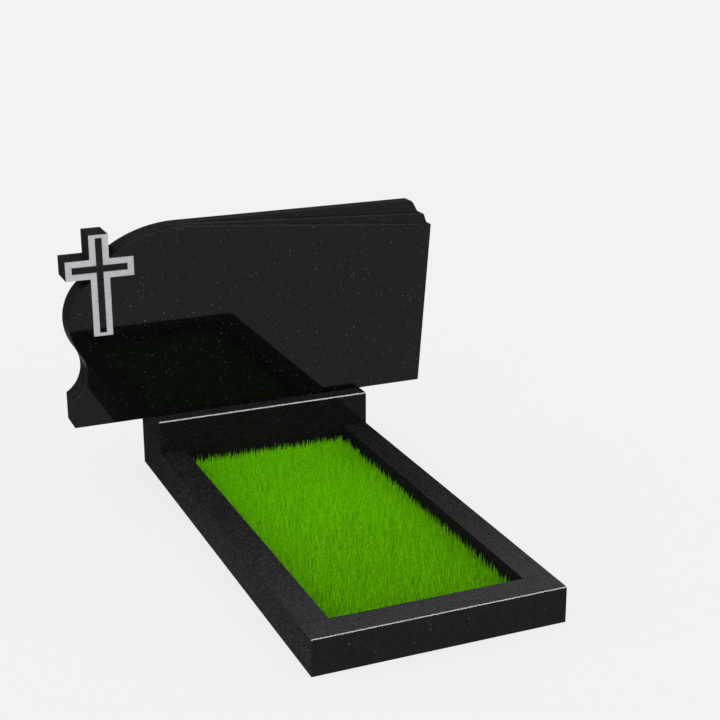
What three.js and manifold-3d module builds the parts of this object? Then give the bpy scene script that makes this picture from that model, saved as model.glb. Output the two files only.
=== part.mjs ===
// Grave monument of polished black granite: a wide stele with a cross at its left shoulder,
// the plinth that carries it, and a kerb of three stones round a bed of turf in front.
// Millimetres, +Z up. The origin is the centre of the plinth's underside, and the front is -Y.

import * as THREE from "three";
import { mergeVertices } from "three/addons/utils/BufferGeometryUtils.js";
import Module from "manifold-3d";

const wasm = await Module();
wasm.setup();

// Plinth and kerb: one width, so the kerb's sides run flush into the plinth's.
const MONUMENT_WIDTH = 700;
const PLINTH_DEPTH = 205;
const PLINTH_HEIGHT = 205;
const BED_REACH = 1298; // plinth's front face to the front stone's front face
const KERB_HEIGHT = 100;
const KERB_SIDE_WIDTH = 80;
const KERB_FRONT_DEPTH = 85;
const PLINTH_CHAMFER = 3; // on the plinth's upper front edge
const KERB_CHAMFER = 2; // on the front stone's upper front edge
const ARRIS = 0.8; // fine chamfer on the other edges of the polished faces
const STONE_JOINT = 1; // open joint between two neighbouring stones

// Turf, a soft mat that fills the bed up to its mean height.
const TURF_HEIGHT = 64;
const TURF_CLEARANCE = 2;

// Stele: x as in the monument, heights counted from the plinth's top.
const STELE_THICKNESS = 102;
const STELE_SETBACK = 54; // plinth's front face to the stele's front face
const STELE_HEIGHT = 600;
const BASE_LEFT = -600;
const BASE_RIGHT = 563;

// Left edge: a hollow waist that runs smoothly into a round bulge.
const WAIST_CENTRE = new THREE.Vector2(-655, 174);
const WAIST_RADIUS = 104;
const BULGE_RADIUS = 157.5;
const WAIST_TO_BULGE = THREE.MathUtils.degToRad(34.6);

// Upper edge: a round shoulder, then three layers that fan out between two shared points.
const SHOULDER_RADIUS = 400;
const FAN_LEFT = new THREE.Vector2(-230, STELE_HEIGHT);
const FAN_RIGHT = new THREE.Vector2(605.5, 529);
const MIDDLE_CORNER = { point: new THREE.Vector2(595, 558.5), radius: 5 };
const BACK_CORNER = { point: new THREE.Vector2(567, STELE_HEIGHT), radius: 25 };
const LAYER_COUNT = 3;

// Latin cross, flush with both faces of the stele. Its foot is twice as long as an arm.
const CROSS_CENTRE = new THREE.Vector2(-494, 495);
const CROSS_REACH = STELE_HEIGHT - CROSS_CENTRE.y;
const CROSS_BAR = 60;

// Blasted band round the cross: a shallow recess that leaves a polished inner cross.
const BAND_DEPTH = 2;
const BAND_OVERCUT = 0.5; // past the cross's own edges, for a clean cut
const INNER_BAR = 20;
const INNER_ARM_END = 20; // band width at the ends of the arms
const INNER_SHAFT_END = 11; // band width at the head and the foot

const ARC_STEPS = 40;

// Outlines

function arc(centre, radius, from, to) {
  const points = [];
  for (let step = 0; step <= ARC_STEPS; step++) {
    const angle = from + ((to - from) * step) / ARC_STEPS;
    const spoke = new THREE.Vector2(Math.cos(angle), Math.sin(angle)).multiplyScalar(radius);
    points.push(spoke.add(centre));
  }
  return points;
}

// Rounds the corner between the edges to its two neighbours.
function roundedCorner(corner, radius, before, after) {
  const toBefore = before.clone().sub(corner).normalize();
  const toAfter = after.clone().sub(corner).normalize();
  const halfAngle = Math.acos(toBefore.dot(toAfter)) / 2;
  const middle = toBefore.clone().add(toAfter).normalize();
  const centre = middle.multiplyScalar(radius / Math.sin(halfAngle)).add(corner);
  const tangent = radius / Math.tan(halfAngle);
  const start = toBefore.multiplyScalar(tangent).add(corner).sub(centre).angle();
  const end = toAfter.multiplyScalar(tangent).add(corner).sub(centre).angle();
  return arc(centre, radius, start, end);
}

function crossOutline(bar, armReach, headReach, footReach) {
  const half = bar / 2;
  const corners = [
    [half, -footReach], [half, -half], [armReach, -half],
    [armReach, half], [half, half], [half, headReach],
    [-half, headReach], [-half, half], [-armReach, half],
    [-armReach, -half], [-half, -half], [-half, -footReach],
  ];
  return corners.map(([x, y]) => new THREE.Vector2(x, y).add(CROSS_CENTRE));
}

// From the fan's left end over the shoulder, round the cross's head and left arm, and down to the base.
function leftEdge() {
  const shoulderCentre = new THREE.Vector2(FAN_LEFT.x, STELE_HEIGHT - SHOULDER_RADIUS);
  const shaftRight = CROSS_CENTRE.x + CROSS_BAR / 2;
  const shoulderEnd = Math.acos((shaftRight - shoulderCentre.x) / SHOULDER_RADIUS);

  const waistToBulge = new THREE.Vector2(Math.cos(WAIST_TO_BULGE), Math.sin(WAIST_TO_BULGE));
  const bulgeCentre = waistToBulge.multiplyScalar(WAIST_RADIUS + BULGE_RADIUS).add(WAIST_CENTRE);
  const shaftLeft = CROSS_CENTRE.x - CROSS_BAR / 2;
  const bulgeStart = Math.acos((shaftLeft - bulgeCentre.x) / BULGE_RADIUS);
  const waistEnd = -Math.acos((BASE_LEFT - WAIST_CENTRE.x) / WAIST_RADIUS);

  const armLeft = CROSS_CENTRE.x - CROSS_REACH;
  const armTop = CROSS_CENTRE.y + CROSS_BAR / 2;
  const armBottom = CROSS_CENTRE.y - CROSS_BAR / 2;
  const headAndArm = [
    [shaftRight, STELE_HEIGHT], [shaftLeft, STELE_HEIGHT], [shaftLeft, armTop],
    [armLeft, armTop], [armLeft, armBottom], [shaftLeft, armBottom],
  ];
  return [
    ...arc(shoulderCentre, SHOULDER_RADIUS, Math.PI / 2, shoulderEnd),
    ...headAndArm.map(([x, y]) => new THREE.Vector2(x, y)),
    ...arc(bulgeCentre, BULGE_RADIUS, bulgeStart, Math.PI + WAIST_TO_BULGE),
    ...arc(WAIST_CENTRE, WAIST_RADIUS, WAIST_TO_BULGE, waistEnd).slice(1),
  ];
}

function layerOutline(fanCorner) {
  const corner = fanCorner ? roundedCorner(fanCorner.point, fanCorner.radius, FAN_RIGHT, FAN_LEFT) : [];
  const base = [new THREE.Vector2(BASE_LEFT, 0), new THREE.Vector2(BASE_RIGHT, 0)];
  return new THREE.Shape([...base, FAN_RIGHT, ...corner, ...leftEdge()]);
}

// Solids

// Extrudes an outline to the whole depth, with a chamfer of the given size round both ends.
function extrude(shape, depth, chamfer) {
  const geometry = new THREE.ExtrudeGeometry(shape, {
    depth: depth - 2 * chamfer,
    bevelEnabled: chamfer > 0,
    bevelThickness: chamfer,
    bevelSize: chamfer,
    bevelOffset: -chamfer,
    bevelSegments: 1,
  });
  return geometry.translate(0, 0, chamfer);
}

// Extrudes an upright outline in X and Z forward from the plane y = 0.
function extrudeForward(shape, depth, chamfer) {
  return extrude(shape, depth, chamfer).rotateX(Math.PI / 2);
}

// Extrudes a section in Y and Z along X, centred on x = 0.
function extrudeAcross(section, length, chamfer) {
  const shape = new THREE.Shape(section.map(([y, z]) => new THREE.Vector2(y, z)));
  const geometry = extrude(shape, length, chamfer);
  return geometry.rotateX(Math.PI / 2).rotateZ(Math.PI / 2).translate(-length / 2, 0, 0);
}

function solidFrom(geometry) {
  geometry.deleteAttribute("normal");
  geometry.deleteAttribute("uv");
  const merged = mergeVertices(geometry);
  const vertProperties = merged.attributes.position.array;
  const triVerts = Uint32Array.from(merged.index.array);
  return new wasm.Manifold(new wasm.Mesh({ numProp: 3, vertProperties, triVerts }));
}

function geometryFrom(solid) {
  const { vertProperties, triVerts } = solid.getMesh();
  const geometry = new THREE.BufferGeometry();
  geometry.setAttribute("position", new THREE.BufferAttribute(vertProperties, 3));
  geometry.setIndex(new THREE.BufferAttribute(triVerts, 1));
  geometry.computeVertexNormals();
  return geometry;
}

// The layers are nested: each reaches from the back face forward to its own front.
function steleGeometry() {
  const corners = [BACK_CORNER, MIDDLE_CORNER, null];
  const layers = corners.map((corner, index) => {
    const depth = (STELE_THICKNESS * (index + 1)) / LAYER_COUNT;
    return solidFrom(extrudeForward(layerOutline(corner), depth, ARRIS));
  });
  const slab = layers.reduce((joined, layer) => joined.add(layer));

  const bandReach = CROSS_REACH + BAND_OVERCUT;
  const bandBar = CROSS_BAR + 2 * BAND_OVERCUT;
  const band = new THREE.Shape(crossOutline(bandBar, bandReach, bandReach, CROSS_REACH + bandReach));
  const innerArm = CROSS_REACH - INNER_ARM_END;
  const innerHead = CROSS_REACH - INNER_SHAFT_END;
  band.holes.push(new THREE.Path(crossOutline(INNER_BAR, innerArm, innerHead, CROSS_REACH + innerHead)));
  const cutter = extrudeForward(band, BAND_DEPTH * 2, 0).translate(0, BAND_DEPTH - STELE_THICKNESS, 0);
  return geometryFrom(slab.subtract(solidFrom(cutter)));
}

// A stone that stands on z = 0, with an arris round both ends and a chamfer on its upper front and back edge.
function stoneBlock(width, depth, height, frontChamfer, backChamfer) {
  const section = [
    [-depth / 2, 0], [depth / 2, 0], [depth / 2, height - backChamfer], [depth / 2 - backChamfer, height],
    [frontChamfer - depth / 2, height], [-depth / 2, height - frontChamfer],
  ];
  return extrudeAcross(section, width, ARRIS);
}

// A stone that butts against its neighbours in front and behind, so its edges there are left square.
function buttedStone(width, depth, height) {
  const section = [[-depth / 2, 0], [depth / 2, 0], [depth / 2, height], [-depth / 2, height]];
  return extrudeAcross(section, width, ARRIS);
}

// Pieces

const monument = new THREE.Group();

function addPiece(name, geometry, material, x, y, z) {
  const piece = new THREE.Mesh(geometry, material);
  piece.name = name;
  piece.position.set(x, y, z);
  monument.add(piece);
}

function polishedGranite() {
  return new THREE.MeshStandardMaterial({ color: 0x1d1d1f, roughness: 0.08, metalness: 0 });
}

function turf() {
  return new THREE.MeshStandardMaterial({ color: 0x4f9d08, roughness: 0.85, metalness: 0 });
}

const plinthFront = -PLINTH_DEPTH / 2;
const kerbFront = plinthFront - BED_REACH;
const bedFront = kerbFront + KERB_FRONT_DEPTH;
const bedWidth = MONUMENT_WIDTH - 2 * KERB_SIDE_WIDTH;
const bedLength = plinthFront - bedFront;
const bedMiddle = (plinthFront + bedFront) / 2;

const plinth = stoneBlock(MONUMENT_WIDTH, PLINTH_DEPTH, PLINTH_HEIGHT, PLINTH_CHAMFER, ARRIS);
addPiece("plinth", plinth, polishedGranite(), 0, 0, 0);
const steleBack = plinthFront + STELE_SETBACK + STELE_THICKNESS;
addPiece("stele", steleGeometry(), polishedGranite(), 0, steleBack, PLINTH_HEIGHT);

const frontStone = stoneBlock(MONUMENT_WIDTH, KERB_FRONT_DEPTH, KERB_HEIGHT, KERB_CHAMFER, ARRIS);
addPiece("kerb_front", frontStone, polishedGranite(), 0, kerbFront + KERB_FRONT_DEPTH / 2, 0);
for (const [name, side] of [["kerb_left", -1], ["kerb_right", 1]]) {
  const stone = buttedStone(KERB_SIDE_WIDTH, bedLength - 2 * STONE_JOINT, KERB_HEIGHT);
  const x = (side * (MONUMENT_WIDTH - KERB_SIDE_WIDTH)) / 2;
  addPiece(name, stone, polishedGranite(), x, bedMiddle, 0);
}

const matWidth = bedWidth - 2 * TURF_CLEARANCE;
const matLength = bedLength - 2 * TURF_CLEARANCE;
const mat = new THREE.BoxGeometry(matWidth, matLength, TURF_HEIGHT);
addPiece("turf_bed", mat, turf(), 0, bedMiddle, TURF_HEIGHT / 2);

export default monument;
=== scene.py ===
"""Grave monument of black granite: a wide stele with a cross, a plinth, a kerb and a bed of grass.

Metres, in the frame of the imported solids: +Z up, the front is -Y.
"""

import math

import bmesh
import bpy
import numpy as np
from mathutils import Matrix, Vector


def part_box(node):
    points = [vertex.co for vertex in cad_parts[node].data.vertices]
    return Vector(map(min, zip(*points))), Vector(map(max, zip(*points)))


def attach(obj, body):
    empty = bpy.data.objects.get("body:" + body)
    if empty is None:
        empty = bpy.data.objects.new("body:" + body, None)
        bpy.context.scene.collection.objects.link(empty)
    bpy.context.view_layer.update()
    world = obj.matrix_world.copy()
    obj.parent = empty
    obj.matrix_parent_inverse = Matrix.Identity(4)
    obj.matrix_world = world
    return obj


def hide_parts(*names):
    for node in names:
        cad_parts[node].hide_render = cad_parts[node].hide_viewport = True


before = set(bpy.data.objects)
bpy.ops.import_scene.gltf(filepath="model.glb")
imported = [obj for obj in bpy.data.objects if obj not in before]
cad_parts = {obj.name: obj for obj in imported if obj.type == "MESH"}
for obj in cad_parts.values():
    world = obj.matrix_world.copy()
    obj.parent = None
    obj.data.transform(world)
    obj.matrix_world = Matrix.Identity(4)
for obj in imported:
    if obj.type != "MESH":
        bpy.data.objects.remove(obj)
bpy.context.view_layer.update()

MM = 0.001

# Stones
KERB_STONES = ("kerb_left", "kerb_right", "kerb_front")
WELD_DISTANCE = 0.001 * MM
PLANE_ANGLE = math.radians(0.4)  # faces that turn by less than this are one plane
CURVE_ANGLE = math.radians(20)  # faces that turn by less than this are one curve
ARRIS_LIMIT = 2 * MM  # a slanting strip narrower than this is an arris
STRAIGHT = 0.95  # a face whose normal has this much of one axis doesn't slant

# Cross on the stele's front, and the blasted band round its inner cross
CROSS_X = -494 * MM
CROSS_Z = 700 * MM
CROSS_BAR = 60 * MM
CROSS_ARM = 105 * MM
CROSS_FOOT = 210 * MM
INNER_BAR = 20 * MM
INNER_ARM = 85 * MM
INNER_HEAD = 94 * MM
INNER_FOOT = 199 * MM
BAND_RECESS = 2 * MM
BAND_SKIN = 0.6 * MM
BAND_EDGE = 0.3 * MM

# Grass: blades in a jittered grid, rooted in a low mat
SEED = 7
BLADE_SPACING = 3.4 * MM
MAT_TOP = 20 * MM
MAT_CELL = 9 * MM
MAT_BUMPS = 3 * MM
TIP_HEIGHT = 66 * MM
TIP_SPREAD = 9 * MM
TIP_LIMITS = (46 * MM, 83 * MM)
BLADE_WIDTH = (1.8 * MM, 2.8 * MM)
BLADE_LEAN = 0.11
BLADE_LEVELS = ((0.0, 1.0), (0.65, 0.85))  # share of the length, share of the width
BORDER = 14 * MM  # strip along the kerb where the blades thin out
BORDER_SHARE = 0.5  # share of the blades that is left at the kerb
FRONT_TONE = 0.31  # mean tone of the blades at the front of the bed, where 0 is dark and 1 is light
BACK_PAINTED_LIGHT_RISE = 0.40  # painted light: how much lighter they are at its back, to undo the stele's shade on them
TONE_SPREAD = 0.2

# Colours of the grass and of the blasted band
BLADE_ROOT = (0.065, 0.31, 0.0014, 1.0)
BLADE_BODY_DARK = (0.080, 0.23, 0.0012, 1.0)
BLADE_BODY_LIGHT = (0.29, 0.92, 0.005, 1.0)
BLADE_TIP_DARK = (0.125, 0.34, 0.002, 1.0)
BLADE_TIP_LIGHT = (0.43, 0.98, 0.016, 1.0)
THATCH_DARK = (0.05, 0.14, 0.004, 1.0)
THATCH_LIGHT = (0.16, 0.52, 0.010, 1.0)
BLASTED_LIGHT = (0.42, 0.415, 0.444, 1.0)
BLASTED_DARK = (0.285, 0.28, 0.302, 1.0)

# Fine patterns of the grass and of the blasted band
BODY_STARTS = (0.1, 0.5)  # heights between which a blade's root colour turns into its body's
TIP_STARTS = (0.75, 1.0)  # and its body's colour into its tip's
MOTTLES_PER_METRE = 420.0
MOTTLE_RANGE = (0.25, 0.75)  # noise values between which a blade's tone shifts
MOTTLE_SHIFT = 0.6
CLUMPS_PER_METRE = 260.0
CLUMP_RANGE = (0.35, 0.7)  # noise values between which the thatch turns from dark to light
CLUMP_DEPTH = 4 * MM
PITS_PER_METRE = 900.0
PIT_DEPTH = 0.3 * MM

# Patterns: how many grains lie along a metre, and how rare the light ones are
CRYSTALS = {"per_metre": 650.0, "rarity": 4.0}
SIDE_GRAINS = {"per_metre": 250.0, "rarity": 8.0}
TOP_LIGHT_GRAINS = {"per_metre": 250.0, "rarity": 3.0}
BLASTED_GRAINS = {"per_metre": 480.0, "rarity": 3.0}

# The darkest and the lightest grains' tones, as shares of the whole pattern's tone
CRYSTAL_CONTRAST = (0.7, 2.5)
SIDE_CONTRAST = (0.4, 6.0)
TOP_LIGHT_CONTRAST = (0.5, 2.5)

# Silvery flecks in the granite, with radii and soft edges as shares of a cell
FLECKS_PER_METRE = 115.0
FLECK_RADIUS = (0.14, 0.30)
FLECK_EDGE = 0.04
FLECK_TONES = (0.02, 0.065)
GLINT_RARITY = 3.0
LEAST_GLINT = 0.15  # the dullest fleck's gloss, as a share of the brightest one's

# Faces of the granite, told by their normals
HONED_TONE = 0.011
HONED_SLOPE = (0.6, 0.9)  # a normal with this much of +Y belongs to a honed back
OUTER_SIDE = 0.3  # where the normal's X times the place's X is above this, the face is an outer side
BED_SIDE = -0.05  # and where it is below this, the face looks towards the bed
# Painted light from above: the faces that look up are given a lighter, grainy tone
TOP_LIGHT_SLOPE = (0.05, 0.6)  # a normal with this much of +Z belongs to a face that gets the painted light from above
TOP_LIGHT_COVER = 0.8
CORNER_SHADE_REACH = 30 * MM  # painted shade: the painted light from above is weaker this near to an inner corner
CORNER_SHADE_OPENNESS = (0.6, 0.95)  # how open a place is where the painted light from above begins, and where it is full; less open places get painted shade
ARRIS_HIGHLIGHT_TONE = 0.023  # painted highlight: a lighter tone on the upward arrises
POLISH_ROUGHNESS = 0.02

# Studio
FLOOR_REACH = 60.0
BACKGROUND = 0.887  # light of the background, and of the open floor
DOME = 1.7  # light that falls on the matt faces
FLOOR_SHADE = 0.10  # share of the floor's light that the stones can shade
GLOSS_AXIS = (0.0, -1.0, 1.2)  # forward and up
GLOSS_STOPS = (  # how far a direction points along the axis, and the light that is mirrored from there
    (-1.40, 0.22), (-1.37, 0.16), (-1.355, 0.075), (-1.34, 0.06), (-1.24, 0.05), (-0.9, 0.036),
    (-0.56, 0.02), (-0.49, 0.07), (-0.45, 0.0), (-0.40, 0.04), (-0.36, 0.12), (-0.32, 0.38),
    (-0.285, 0.75), (-0.245, 1.35), (-0.1, 1.3), (0.16, 1.1), (0.22, 1.6), (0.5, 1.78),
    (0.66, 1.78), (0.85, 0.9), (1.22, 0.9), (1.36, 2.9),
)
EDGE_LIGHT_WIDTH = 1.9
EDGE_LIGHT_DEPTH = 0.5
EDGE_LIGHT_RADIANCE = 176.0
PLINTH_LIGHT_PLACE = (1.05, -1.27, 3.25)
KERB_LIGHT_PLACE = (1.56, -3.24, 3.25)

# The photograph's view, from a fit to the stones' straight edges
CAMERA_PLACE = (-1.4820, -4.3829, 1.8478)
CAMERA_YAW = math.radians(22.934)
CAMERA_PITCH = math.radians(18.199)
CAMERA_ROLL = math.radians(-0.246)
CAMERA_SENSOR = 36.0
CAMERA_LENS = 75.257


# Shader helpers

def add_node(tree, kind, inputs=None, **properties):
    """A new node. An input that is another node's socket is linked, and any other value is set."""
    made = tree.nodes.new(kind)
    for name, value in properties.items():
        setattr(made, name, value)
    for name, value in (inputs or {}).items():
        if isinstance(value, bpy.types.NodeSocket):
            tree.links.new(value, made.inputs[name])
        else:
            made.inputs[name].default_value = value
    return made


def math_node(tree, operation, first, second, third=0.0):
    inputs = {0: first, 1: second, 2: third}
    return add_node(tree, "ShaderNodeMath", inputs, operation=operation).outputs[0]


def map_range(tree, value, low, high, to_low=0.0, to_high=1.0):
    """value between low and high, moved to the range from to_low to to_high and held there."""
    inputs = {"Value": value, "From Min": low, "From Max": high, "To Min": to_low, "To Max": to_high}
    return add_node(tree, "ShaderNodeMapRange", inputs).outputs["Result"]


def ramp(tree, value, stops):
    """A value that follows straight lines between stops, each a place and the result there."""
    low, high = stops[0][0], stops[-1][0]
    peak = max(result for _, result in stops)
    made = add_node(tree, "ShaderNodeValToRGB", {"Fac": map_range(tree, value, low, high)})
    elements = made.color_ramp.elements
    for place, _ in stops[1:-1]:
        elements.new((place - low) / (high - low))
    for element, (_, result) in zip(elements, stops):
        element.color = grey(result / peak)
    return math_node(tree, "MULTIPLY", made.outputs["Color"], peak)


def mix_colour(tree, share, first, second):
    made = add_node(tree, "ShaderNodeMix", data_type="RGBA")
    sockets = (made.inputs[0], made.inputs[6], made.inputs[7])
    for socket, value in zip(sockets, (share, first, second)):
        if isinstance(value, bpy.types.NodeSocket):
            tree.links.new(value, socket)
        else:
            socket.default_value = value
    return made.outputs[2]


def grey(value):
    return (value, value, value, 1.0)


def outside_range(tree, value, low, high):
    """1 where value is outside the range from low to high, and 0 inside it."""
    from_middle = math_node(tree, "SUBTRACT", value, (low + high) / 2)
    distance = math_node(tree, "ABSOLUTE", from_middle, 0.0)
    return math_node(tree, "GREATER_THAN", distance, (high - low) / 2)


def grain_share(tree, place, per_metre, rarity):
    """A random share for each grain of a pattern, from 0 for a dark grain to 1 for a light one."""
    grains = add_node(tree, "ShaderNodeTexVoronoi", {"Vector": place, "Scale": per_metre})
    grain = add_node(tree, "ShaderNodeSeparateColor", {"Color": grains.outputs["Color"]})
    return math_node(tree, "POWER", grain.outputs["Red"], rarity)


def grained(tree, place, tone, pattern, contrast):
    """A grey tone that is broken up into grains."""
    darkest, lightest = contrast
    return mix_colour(
        tree, grain_share(tree, place, **pattern), grey(darkest * tone), grey(lightest * tone)
    )


def object_place(tree):
    return add_node(tree, "ShaderNodeTexCoord").outputs["Object"]


def new_material(name):
    """A material with one Principled shader, and its node tree."""
    material = bpy.data.materials.new(name)
    material.use_nodes = True
    return material, material.node_tree, material.node_tree.nodes["Principled BSDF"]


# Materials

def with_painted_top_light(tree, colour, place, upward, top_light_tone):
    """Painted light from above: the colour made lighter on the faces that look up, with painted shade in
    inner corners and a painted highlight on the upward arrises.
    """
    top_share = map_range(tree, upward, *TOP_LIGHT_SLOPE, 0.0, TOP_LIGHT_COVER)
    # painted shade: the light from above is taken away in inner corners
    corner_shade = add_node(
        tree, "ShaderNodeAmbientOcclusion", {"Distance": CORNER_SHADE_REACH}, samples=16, only_local=True
    )
    openness = map_range(tree, corner_shade.outputs["AO"], *CORNER_SHADE_OPENNESS)
    top_light = math_node(tree, "MULTIPLY", top_share, openness)
    top_lit_colour = grained(tree, place, top_light_tone, TOP_LIGHT_GRAINS, TOP_LIGHT_CONTRAST)
    # painted highlight: the upward arrises are given a lighter tone
    arris = add_node(tree, "ShaderNodeAttribute", attribute_name="arris")
    arris_highlight = math_node(tree, "MULTIPLY", arris.outputs["Fac"], top_light)
    return mix_colour(tree, arris_highlight, mix_colour(tree, top_light, colour, top_lit_colour), grey(ARRIS_HIGHLIGHT_TONE))


def flecks(tree, place, fleck_share):
    """Round spots in a share of the cells: how much of a fleck is at a place, and how much it glints."""
    cells = add_node(tree, "ShaderNodeTexVoronoi", {"Vector": place, "Scale": FLECKS_PER_METRE})
    chance = add_node(tree, "ShaderNodeSeparateColor", {"Color": cells.outputs["Color"]})
    radius = map_range(tree, chance.outputs["Green"], 0.0, 1.0, *FLECK_RADIUS)
    depth = math_node(tree, "SUBTRACT", radius, cells.outputs["Distance"])
    spot = map_range(tree, depth, 0.0, FLECK_EDGE)
    present = math_node(tree, "LESS_THAN", chance.outputs["Red"], fleck_share)
    glint = math_node(tree, "POWER", chance.outputs["Blue"], GLINT_RARITY)
    return math_node(tree, "MULTIPLY", spot, present), glint


def polished_granite(
    name, ground_tone, top_light_tone, gloss, fleck_share, fleck_gloss=0.0,
    grainy_sides=False, sawn_inside=False,
):
    """Black gabbro: a dark ground of fine crystals with silvery flecks, and tops made lighter by painted
    light from above.

    The stele's and the plinth's backs are honed, and the kerb's faces towards the bed are sawn.
    Both have no gloss. The outer sides of the plinth and the kerb show coarser grains.
    """
    material, tree, shader = new_material(name)
    place = object_place(tree)
    place_x = add_node(tree, "ShaderNodeSeparateXYZ", {"Vector": place}).outputs["X"]
    normal = add_node(tree, "ShaderNodeNewGeometry").outputs["Normal"]
    facing = add_node(tree, "ShaderNodeSeparateXYZ", {"Vector": normal})
    back = map_range(tree, facing.outputs["Y"], *HONED_SLOPE)
    outward = math_node(tree, "MULTIPLY", facing.outputs["X"], place_x)

    ground = grained(tree, place, ground_tone, CRYSTALS, CRYSTAL_CONTRAST)
    if not sawn_inside:
        honed = grained(tree, place, HONED_TONE, CRYSTALS, CRYSTAL_CONTRAST)
        ground = mix_colour(tree, back, ground, honed)
    if grainy_sides:
        side = grained(tree, place, ground_tone, SIDE_GRAINS, SIDE_CONTRAST)
        ground = mix_colour(tree, math_node(tree, "GREATER_THAN", outward, OUTER_SIDE), ground, side)
    ground = with_painted_top_light(tree, ground, place, facing.outputs["Z"], top_light_tone)
    fleck, glint = flecks(tree, place, fleck_share)
    fleck_colour = mix_colour(tree, glint, *(grey(tone) for tone in FLECK_TONES))
    tree.links.new(mix_colour(tree, fleck, ground, fleck_colour), shader.inputs["Base Color"])

    fleck_mirror = map_range(tree, glint, 0.0, 1.0, LEAST_GLINT * fleck_gloss, fleck_gloss)
    mirror = math_node(tree, "MULTIPLY_ADD", fleck, fleck_mirror, gloss)
    dull = back
    if sawn_inside:
        dull = math_node(tree, "MAXIMUM", back, math_node(tree, "LESS_THAN", outward, BED_SIDE))
    mirror = math_node(tree, "MULTIPLY", mirror, math_node(tree, "SUBTRACT", 1.0, dull))
    tree.links.new(mirror, shader.inputs["Specular IOR Level"])
    shader.inputs["Roughness"].default_value = POLISH_ROUGHNESS
    return material


def blasted_granite():
    """The same stone with its polish blasted off: pale, matt and finely pitted."""
    material, tree, shader = new_material("blasted_granite")
    place = object_place(tree)
    colour = mix_colour(tree, grain_share(tree, place, **BLASTED_GRAINS), BLASTED_LIGHT, BLASTED_DARK)
    tree.links.new(colour, shader.inputs["Base Color"])
    pits = add_node(tree, "ShaderNodeTexNoise", {"Vector": place, "Scale": PITS_PER_METRE, "Detail": 4.0})
    bump = add_node(
        tree, "ShaderNodeBump", {"Height": pits.outputs["Fac"], "Strength": 0.5, "Distance": PIT_DEPTH}
    )
    tree.links.new(bump.outputs["Normal"], shader.inputs["Normal"])
    shader.inputs["Roughness"].default_value = 0.85
    shader.inputs["Specular IOR Level"].default_value = 0.2
    return material


def grass():
    """Blades, dark at the root and lime at the tip. The UV map holds each blade's tone, with painted
    light towards the back of the bed, and its height.
    """
    material, tree, shader = new_material("grass_blade")
    blade = add_node(tree, "ShaderNodeUVMap", uv_map="blade")
    parts = add_node(tree, "ShaderNodeSeparateXYZ", {"Vector": blade.outputs["UV"]})
    height = parts.outputs["Y"]
    place = object_place(tree)
    mottle = add_node(
        tree, "ShaderNodeTexNoise", {"Vector": place, "Scale": MOTTLES_PER_METRE, "Detail": 1.0}
    )
    shift = map_range(tree, mottle.outputs["Fac"], *MOTTLE_RANGE, -MOTTLE_SHIFT, MOTTLE_SHIFT)
    tone = math_node(tree, "ADD", parts.outputs["X"], shift)
    body = mix_colour(tree, tone, BLADE_BODY_DARK, BLADE_BODY_LIGHT)
    tip = mix_colour(tree, tone, BLADE_TIP_DARK, BLADE_TIP_LIGHT)
    upper = mix_colour(tree, map_range(tree, height, *TIP_STARTS), body, tip)
    whole = mix_colour(tree, map_range(tree, height, *BODY_STARTS), BLADE_ROOT, upper)
    tree.links.new(whole, shader.inputs["Base Color"])
    shader.inputs["Roughness"].default_value = 0.7
    shader.inputs["Specular IOR Level"].default_value = 0.0
    through = add_node(tree, "ShaderNodeBsdfTranslucent", {"Color": whole})
    both = add_node(tree, "ShaderNodeMixShader", {0: 0.5, 1: shader.outputs[0], 2: through.outputs[0]})
    tree.links.new(both.outputs[0], tree.nodes["Material Output"].inputs["Surface"])
    return material


def thatch():
    """The dark felt of roots and old leaves between the blades."""
    material, tree, shader = new_material("grass_thatch")
    place = object_place(tree)
    clumps = add_node(
        tree, "ShaderNodeTexNoise", {"Vector": place, "Scale": CLUMPS_PER_METRE, "Detail": 6.0}
    )
    share = map_range(tree, clumps.outputs["Fac"], *CLUMP_RANGE)
    colour = mix_colour(tree, share, THATCH_DARK, THATCH_LIGHT)
    tree.links.new(colour, shader.inputs["Base Color"])
    bump = add_node(tree, "ShaderNodeBump", {"Height": clumps.outputs["Fac"], "Distance": CLUMP_DEPTH})
    tree.links.new(bump.outputs["Normal"], shader.inputs["Normal"])
    shader.inputs["Roughness"].default_value = 0.95
    shader.inputs["Specular IOR Level"].default_value = 0.1
    return material


def pale_floor():
    """A floor that glows, so that the stones leave only a faint shade. Under the stones it has no glow:
    painted shade that keeps the joints between them dark.
    """
    material, tree, shader = new_material("pale_floor")
    low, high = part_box("kerb_front")[0].xy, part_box("plinth")[1].xy
    place = add_node(tree, "ShaderNodeSeparateXYZ", {"Vector": object_place(tree)})
    beside = outside_range(tree, place.outputs["X"], low.x, high.x)
    beyond = outside_range(tree, place.outputs["Y"], low.y, high.y)
    # painted shade: the floor does not glow under the stones
    open_floor = math_node(tree, "MAXIMUM", beside, beyond)
    glow = math_node(tree, "MULTIPLY", open_floor, (1 - FLOOR_SHADE) * BACKGROUND)
    shader.inputs["Base Color"].default_value = grey(FLOOR_SHADE * BACKGROUND / DOME)
    shader.inputs["Emission Color"].default_value = grey(1.0)
    tree.links.new(glow, shader.inputs["Emission Strength"])
    shader.inputs["Roughness"].default_value = 1.0
    shader.inputs["Specular IOR Level"].default_value = 0.0
    return material


# Pieces

def new_object(name, mesh, material):
    mesh.materials.clear()
    mesh.materials.append(material)
    made = bpy.data.objects.new(name, mesh)
    bpy.context.scene.collection.objects.link(made)
    return made


def is_arris(face):
    """True for a narrow slanting strip along an edge of the stone."""
    perimeter = sum(edge.calc_length() for edge in face.edges)
    width = 2 * face.calc_area() / perimeter
    return width < ARRIS_LIMIT and max(abs(part) for part in face.normal) < STRAIGHT


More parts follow.
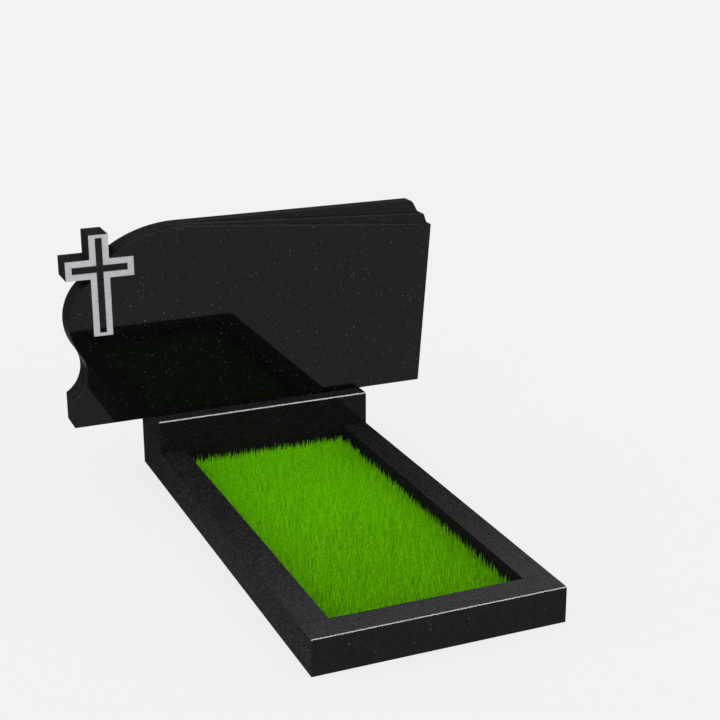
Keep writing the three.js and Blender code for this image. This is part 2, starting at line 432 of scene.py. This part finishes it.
def corner_normal(face, vertex, arrises):
    """Flat on plane faces, smooth along curved ones, and turning from face to face across an arris."""
    normal = Vector()
    for neighbour in vertex.link_faces:
        curves_on = neighbour.normal.angle(face.normal) < CURVE_ANGLE
        if neighbour.index not in arrises and (face.index in arrises or curves_on):
            normal += neighbour.normal
    return normal.normalized()


def stone(node, material):
    """A copy of a stone's solid with whole faces, and arrises that are shaded as if rounded."""
    solid = bmesh.new()
    solid.from_mesh(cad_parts[node].data)
    bmesh.ops.remove_doubles(solid, verts=solid.verts, dist=WELD_DISTANCE)
    bmesh.ops.dissolve_limit(
        solid, angle_limit=PLANE_ANGLE, verts=solid.verts, edges=solid.edges, delimit={"NORMAL"}
    )
    solid.normal_update()
    solid.faces.index_update()
    arrises = {face.index for face in solid.faces if is_arris(face)}
    normals = [corner_normal(face, loop.vert, arrises) for face in solid.faces for loop in face.loops]
    for face in solid.faces:
        face.smooth = True
    mesh = bpy.data.meshes.new(node + "_stone")
    solid.to_mesh(mesh)
    solid.free()
    mesh.normals_split_custom_set(normals)
    on_arris = mesh.attributes.new("arris", "FLOAT", "FACE")
    on_arris.data.foreach_set("value", [float(index in arrises) for index in range(len(mesh.polygons))])
    made = new_object(node + "_stone", mesh, material)
    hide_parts(node)
    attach(made, "root")
    return made


def cross_outline(bar, arm, head, foot):
    """The corners of a Latin cross round the cross's centre, in X and Z."""
    half = bar / 2
    return [
        (half, -foot), (half, -half), (arm, -half), (arm, half), (half, half), (half, head),
        (-half, head), (-half, half), (-arm, half), (-arm, -half), (-half, -half), (-half, -foot),
    ]


def cross_band(material):
    """The blasted band, a thin skin on the floor of the recess round the inner cross."""
    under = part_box("stele")[0].y + BAND_RECESS
    over = under - BAND_SKIN
    outer = cross_outline(
        CROSS_BAR - 2 * BAND_EDGE, CROSS_ARM - BAND_EDGE, CROSS_ARM - BAND_EDGE, CROSS_FOOT - BAND_EDGE
    )
    inner = cross_outline(
        INNER_BAR + 2 * BAND_EDGE, INNER_ARM + BAND_EDGE, INNER_HEAD + BAND_EDGE, INNER_FOOT + BAND_EDGE
    )
    skin = bmesh.new()
    rings = []
    for outline, y in ((outer, under), (outer, over), (inner, over), (inner, under)):
        rings.append([skin.verts.new((CROSS_X + x, y, CROSS_Z + z)) for x, z in outline])
    for ring, following in zip(rings, rings[1:] + rings[:1]):
        for index in range(len(ring)):
            corner_shade = (ring[index - 1], ring[index], following[index], following[index - 1])
            skin.faces.new(corner_shade)
    bmesh.ops.recalc_face_normals(skin, faces=skin.faces)
    mesh = bpy.data.meshes.new("cross_band")
    skin.to_mesh(mesh)
    skin.free()
    made = new_object("cross_band", mesh, material)
    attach(made, "root")
    return made


def turf_mat(material, random):
    """The low mat of roots under the blades, a closed slab with an uneven top."""
    low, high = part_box("turf_bed")
    columns = round((high.x - low.x) / MAT_CELL)
    rows = round((high.y - low.y) / MAT_CELL)
    mat = bmesh.new()
    bmesh.ops.create_grid(mat, x_segments=columns, y_segments=rows, size=0.5)
    top = list(mat.verts)
    for vertex in top:
        x = low.x + (vertex.co.x + 0.5) * (high.x - low.x)
        y = low.y + (vertex.co.y + 0.5) * (high.y - low.y)
        vertex.co = (x, y, MAT_TOP + random.uniform(-MAT_BUMPS, MAT_BUMPS))
    rim = [edge for edge in mat.edges if edge.is_boundary]
    walls = bmesh.ops.extrude_edge_only(mat, edges=rim)["geom"]
    for vertex in (part for part in walls if isinstance(part, bmesh.types.BMVert)):
        vertex.co.z = low.z
    bottom = [edge for edge in mat.edges if edge.is_boundary]
    bmesh.ops.contextual_create(mat, geom=bottom)
    bmesh.ops.recalc_face_normals(mat, faces=mat.faces)
    for face in mat.faces:
        face.smooth = face.normal.z > 0.5
    mesh = bpy.data.meshes.new("turf_mat")
    mat.to_mesh(mesh)
    mat.free()
    made = new_object("turf_mat", mesh, material)
    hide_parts("turf_bed")
    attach(made, "root")


def blade_points(random):
    """The points of all blades, the points' heights as shares of a blade, and the blades' tones, made
    lighter towards the back of the bed by painted light.

    A blade has two points at each level and one at its tip.
    """
    low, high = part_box("turf_bed")
    columns = int((high.x - low.x) / BLADE_SPACING)
    rows = int((high.y - low.y) / BLADE_SPACING)
    grid = np.stack(np.meshgrid(np.arange(columns), np.arange(rows)), -1).reshape(-1, 2)
    count = len(grid)
    bed_low, bed_high = np.array(low.xy) + BLADE_SPACING, np.array(high.xy) - BLADE_SPACING
    cell = (bed_high - bed_low) / (columns, rows)
    root = bed_low + (grid + 0.5 + random.uniform(-0.5, 0.5, (count, 2))) * cell
    from_border = np.minimum(root - bed_low, bed_high - root).min(axis=1)
    root = root[random.uniform(0, 1, count) < np.interp(from_border, (0, BORDER), (BORDER_SHARE, 1))]
    count = len(root)

    tip_z = np.clip(random.normal(TIP_HEIGHT, TIP_SPREAD, count), *TIP_LIMITS)
    root_z = MAT_TOP - MAT_BUMPS
    lean = random.normal(0, BLADE_LEAN / math.sqrt(2), (count, 2)) * (tip_z - root_z)[:, None]
    tip = np.clip(root + lean, bed_low, bed_high)
    turn = random.uniform(0, math.pi, count)
    side = np.stack([np.cos(turn), np.sin(turn)], -1)
    width = random.uniform(*BLADE_WIDTH, count)

    points, heights = [], []
    for share, narrowing in BLADE_LEVELS:
        middle = root + (tip - root) * share ** 2
        z = root_z + (tip_z - root_z) * share
        for direction in (-0.5, 0.5):
            edge = middle + side * (direction * narrowing * width)[:, None]
            points.append(np.column_stack([edge, z]))
            heights.append(share)
    points.append(np.column_stack([tip, tip_z]))
    heights.append(1.0)
    back_share = (root[:, 1] - bed_low[1]) / (bed_high[1] - bed_low[1])
    # painted light: blades towards the back are made lighter against the stele's shade
    tones = FRONT_TONE + BACK_PAINTED_LIGHT_RISE * back_share + random.uniform(-TONE_SPREAD, TONE_SPREAD, count)
    return np.stack(points, 1), np.array(heights), tones


def grass_blades(material, random):
    """All the blades as one mesh of narrow strips."""
    points, heights, tones = blade_points(random)
    count, per_blade = points.shape[:2]
    strip = [[level, level + 1, level + 3, level + 2] for level in range(0, per_blade - 3, 2)]
    strip.append([per_blade - 3, per_blade - 2, per_blade - 1])
    corner_shade = np.concatenate([np.array(face) for face in strip])
    sizes = np.array([len(face) for face in strip])

    first = np.arange(count)[:, None] * per_blade
    loops = (first + corner_shade).ravel()
    starts = np.concatenate([[0], np.cumsum(np.tile(sizes, count))[:-1]])
    mesh = bpy.data.meshes.new("turf_blades")
    mesh.vertices.add(count * per_blade)
    mesh.vertices.foreach_set("co", points.astype(np.float32).ravel())
    mesh.loops.add(len(loops))
    mesh.loops.foreach_set("vertex_index", loops.astype(np.int32))
    mesh.polygons.add(len(starts))
    mesh.polygons.foreach_set("loop_start", starts.astype(np.int32))
    mesh.update(calc_edges=True)
    mesh.shade_smooth()

    tone_and_height = np.column_stack([np.repeat(tones, len(corner_shade)), np.tile(heights[corner_shade], count)])
    layer = mesh.uv_layers.new(name="blade")
    layer.uv.foreach_set("vector", tone_and_height.ravel())
    made = new_object("turf_blades", mesh, material)
    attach(made, "root")


# Stage

def floor():
    reach = FLOOR_REACH
    corner_shade = [(-reach, -reach, 0.0), (reach, -reach, 0.0), (reach, reach, 0.0), (-reach, reach, 0.0)]
    mesh = bpy.data.meshes.new("floor")
    mesh.from_pydata(corner_shade, [], [(0, 1, 2, 3)])
    made = new_object("floor", mesh, pale_floor())
    made.visible_glossy = False


def studio_dome():
    """An even white dome. What the polished faces mirror is brightest in front and overhead."""
    world = bpy.data.worlds.new("studio")
    bpy.context.scene.world = world
    world.use_nodes = True
    world.cycles.sampling_method = "NONE"
    tree = world.node_tree
    direction = add_node(tree, "ShaderNodeTexCoord").outputs["Generated"]
    towards = add_node(
        tree, "ShaderNodeVectorMath", {0: direction, 1: GLOSS_AXIS}, operation="DOT_PRODUCT"
    )
    mirrored = ramp(tree, towards.outputs["Value"], GLOSS_STOPS)
    path = add_node(tree, "ShaderNodeLightPath").outputs
    lit = add_node(tree, "ShaderNodeMix", {0: path["Is Glossy Ray"], 2: DOME, 3: mirrored}).outputs[0]
    seen = add_node(tree, "ShaderNodeMix", {0: path["Is Camera Ray"], 2: lit, 3: BACKGROUND}).outputs[0]
    tree.links.new(seen, tree.nodes["Background"].inputs["Strength"])
    tree.nodes["Background"].inputs["Color"].default_value = grey(1.0)


def edge_light(name, place, stones):
    """A strip overhead that the stones' polished chamfers mirror. It adds gloss and no other light."""
    light = bpy.data.lights.new(name, "AREA")
    light.shape = "RECTANGLE"
    light.size = EDGE_LIGHT_WIDTH
    light.size_y = EDGE_LIGHT_DEPTH
    light.energy = EDGE_LIGHT_RADIANCE * math.pi * EDGE_LIGHT_WIDTH * EDGE_LIGHT_DEPTH
    made = bpy.data.objects.new(name, light)
    made.location = place
    made.visible_camera = False
    made.visible_diffuse = False
    lit = bpy.data.collections.new(name + "_stones")
    for lit_stone in stones:
        lit.objects.link(lit_stone)
    made.light_linking.receiver_collection = lit
    bpy.context.scene.collection.objects.link(made)


def photo_camera():
    """A camera at the photograph's view, turned to the right, tipped down and rolled a little."""
    yaw, pitch, roll = CAMERA_YAW, CAMERA_PITCH, CAMERA_ROLL
    ahead = Vector((math.sin(yaw) * math.cos(pitch), math.cos(yaw) * math.cos(pitch), -math.sin(pitch)))
    level = Vector((math.cos(yaw), -math.sin(yaw), 0.0))
    upright = level.cross(ahead)
    right = math.cos(roll) * level + math.sin(roll) * upright
    up = math.cos(roll) * upright - math.sin(roll) * level
    camera = bpy.data.cameras.new("photo_camera")
    camera.sensor_width = CAMERA_SENSOR
    camera.lens = CAMERA_LENS
    made = bpy.data.objects.new("photo_camera", camera)
    turn = Matrix((right, up, -ahead)).transposed().to_4x4()
    made.matrix_world = Matrix.Translation(CAMERA_PLACE) @ turn
    bpy.context.scene.collection.objects.link(made)
    bpy.context.scene.camera = made


# The monument
# The tones given for the tops are painted light from above
stele_granite = polished_granite(
    "stele_granite", ground_tone=0.0019, top_light_tone=0.0125, gloss=0.094, fleck_share=0.24, fleck_gloss=0.5
)
plinth_granite = polished_granite(
    "plinth_granite", ground_tone=0.0048, top_light_tone=0.0095, gloss=0.031, fleck_share=0.64,
    grainy_sides=True,
)
kerb_granite = polished_granite(
    "kerb_granite", ground_tone=0.0068, top_light_tone=0.0095, gloss=0.031, fleck_share=0.1,
    grainy_sides=True, sawn_inside=True,
)
stele = stone("stele", stele_granite)
band = cross_band(blasted_granite())
stele.visible_glossy = False  # the tops and the fan's steps mirror the studio alone
band.visible_glossy = False
plinth = stone("plinth", plinth_granite)
kerbs = [stone(stone_node, kerb_granite) for stone_node in KERB_STONES]
draws = np.random.default_rng(SEED)
turf_mat(thatch(), draws)
grass_blades(grass(), draws)

# The studio
floor()
studio_dome()
edge_light("plinth_edge_light", PLINTH_LIGHT_PLACE, [plinth])
edge_light("kerb_edge_light", KERB_LIGHT_PLACE, kerbs)
photo_camera()
bpy.context.scene.view_settings.view_transform = "Standard"
